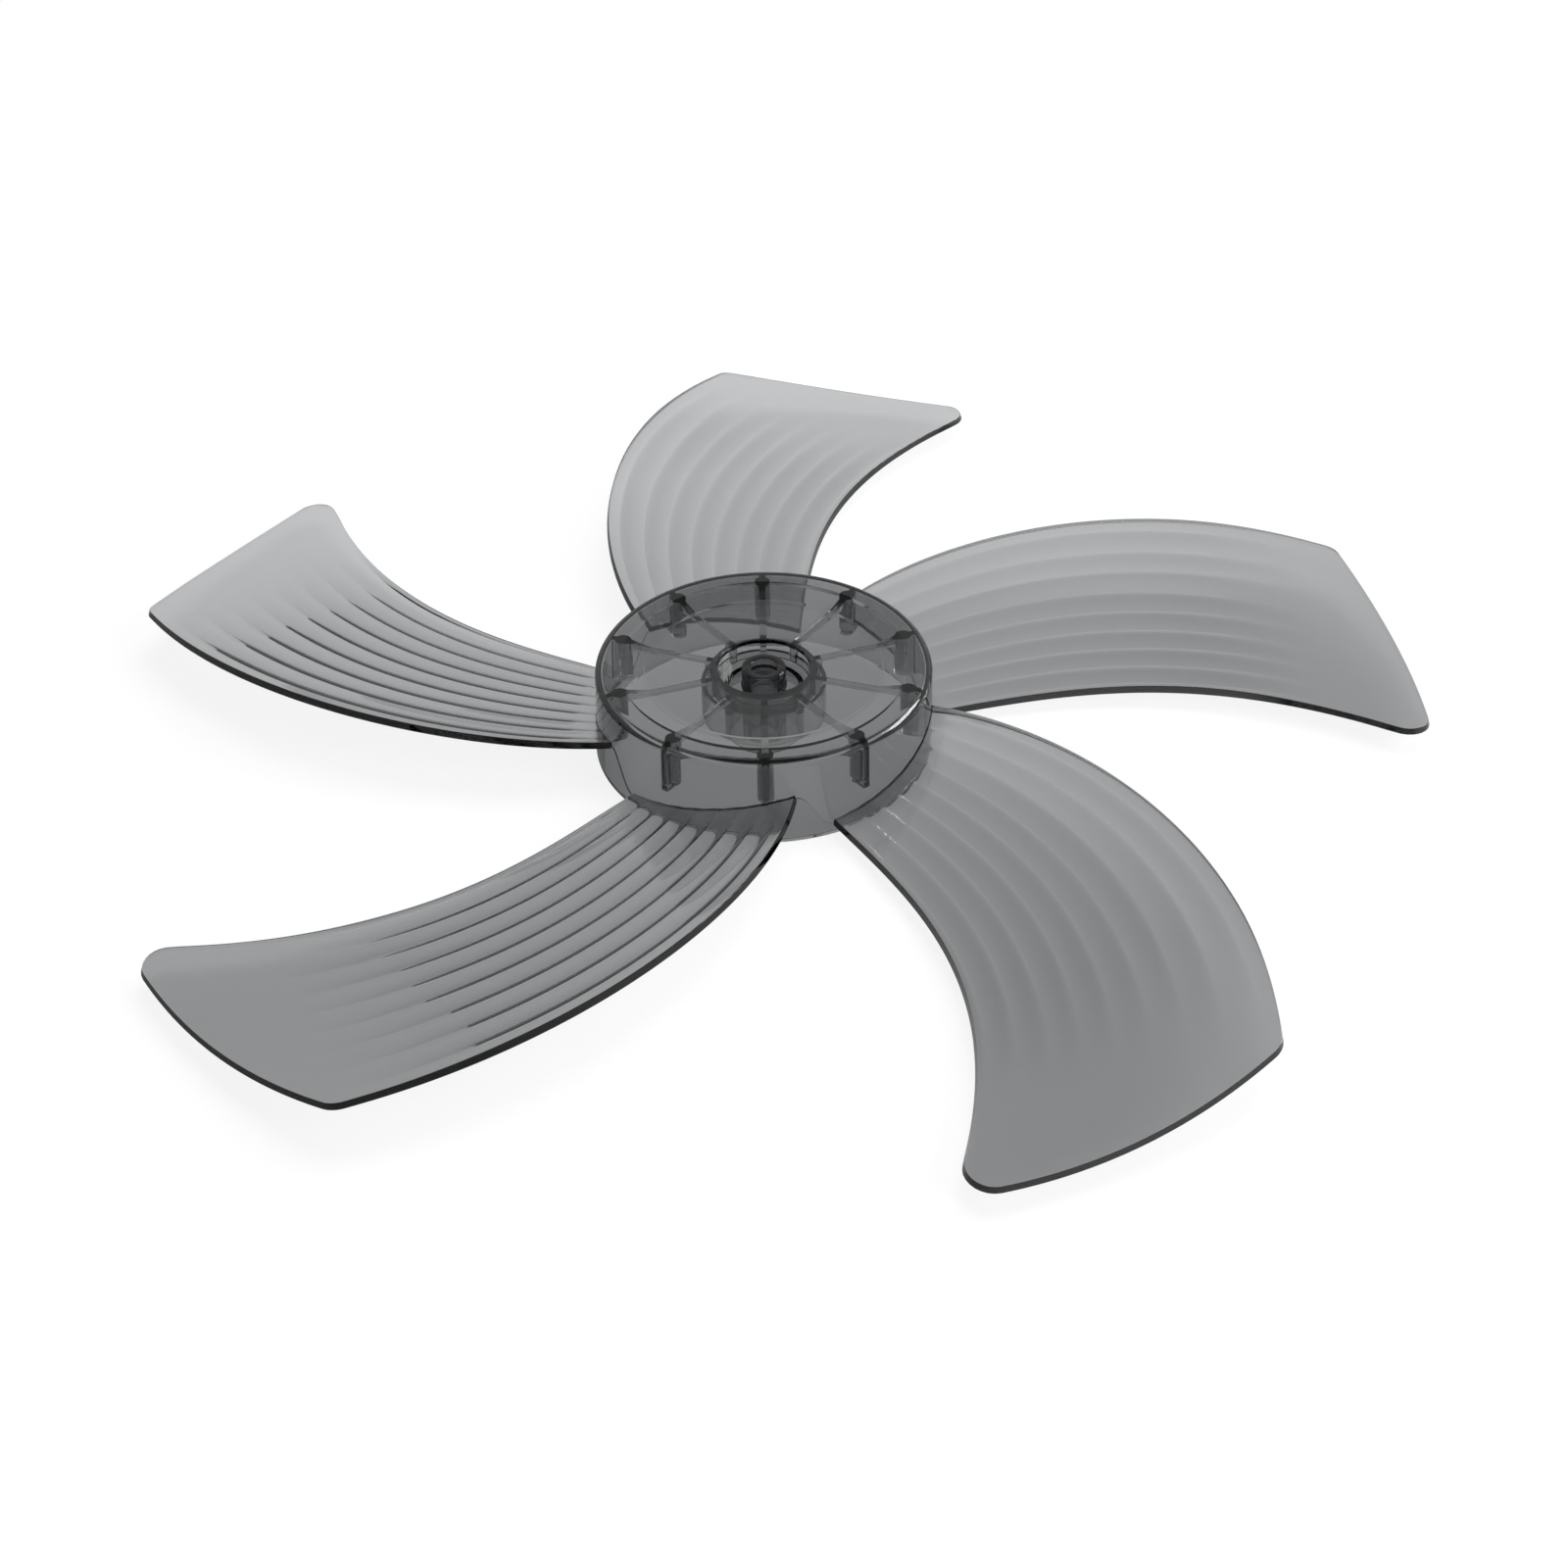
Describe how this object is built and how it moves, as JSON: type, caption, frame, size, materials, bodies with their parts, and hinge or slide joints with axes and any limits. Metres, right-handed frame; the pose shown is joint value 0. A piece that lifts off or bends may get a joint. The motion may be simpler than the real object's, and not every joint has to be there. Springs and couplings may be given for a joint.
{
  "type": "axial fan impeller",
  "caption": "Forward-swept fluted axial fan impeller moulded in one piece with a ribbed cup hub and a central shaft bore.",
  "frame": {"origin": "on the shaft axis at the back end of the bore, in the plane of the hub's back rim", "axes": "+Z along the shaft axis towards the closed front of the hub; +Y and +X across the axis, with one of the hub's ribs along -Y"},
  "size_m": [0.3826, 0.3818, 0.027],
  "materials": {
    "smoke_grey_san": "polished, see-through smoke grey"
  },
  "bodies": {
    "root": {"fan_impeller": "smoke_grey_san"}
  },
  "joints": []
}
